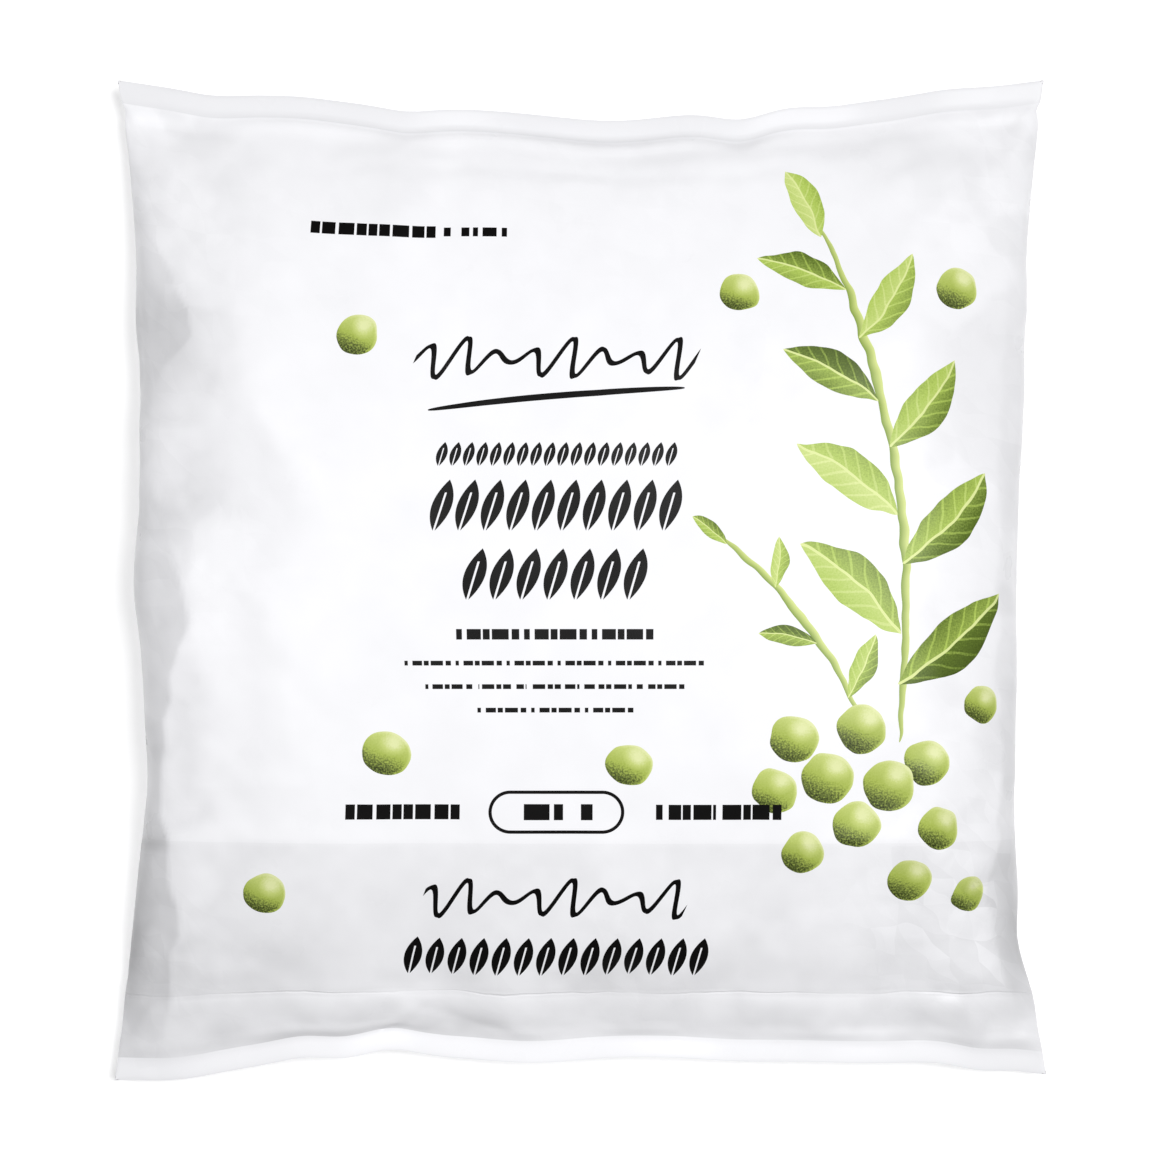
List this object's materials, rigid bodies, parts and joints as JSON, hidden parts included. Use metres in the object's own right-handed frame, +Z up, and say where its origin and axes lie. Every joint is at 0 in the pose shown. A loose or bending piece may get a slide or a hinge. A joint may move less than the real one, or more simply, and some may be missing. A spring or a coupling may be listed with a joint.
{
  "type": "frozen vegetable bag",
  "caption": "Full pillow bag of frozen peas in white film, sealed flat across its top and bottom, lying on its back with the printed front up.",
  "frame": {"origin": "on the floor under the middle of the bag's box", "axes": "+X across the bag to the right of its front, +Y towards its top seal, +Z up out of its front"},
  "size_m": [0.2006, 0.215, 0.036],
  "materials": {
    "film": "white polyethylene film with a soft sheen and a green and black print"
  },
  "bodies": {
    "root": {"bag": "film"}
  },
  "joints": []
}
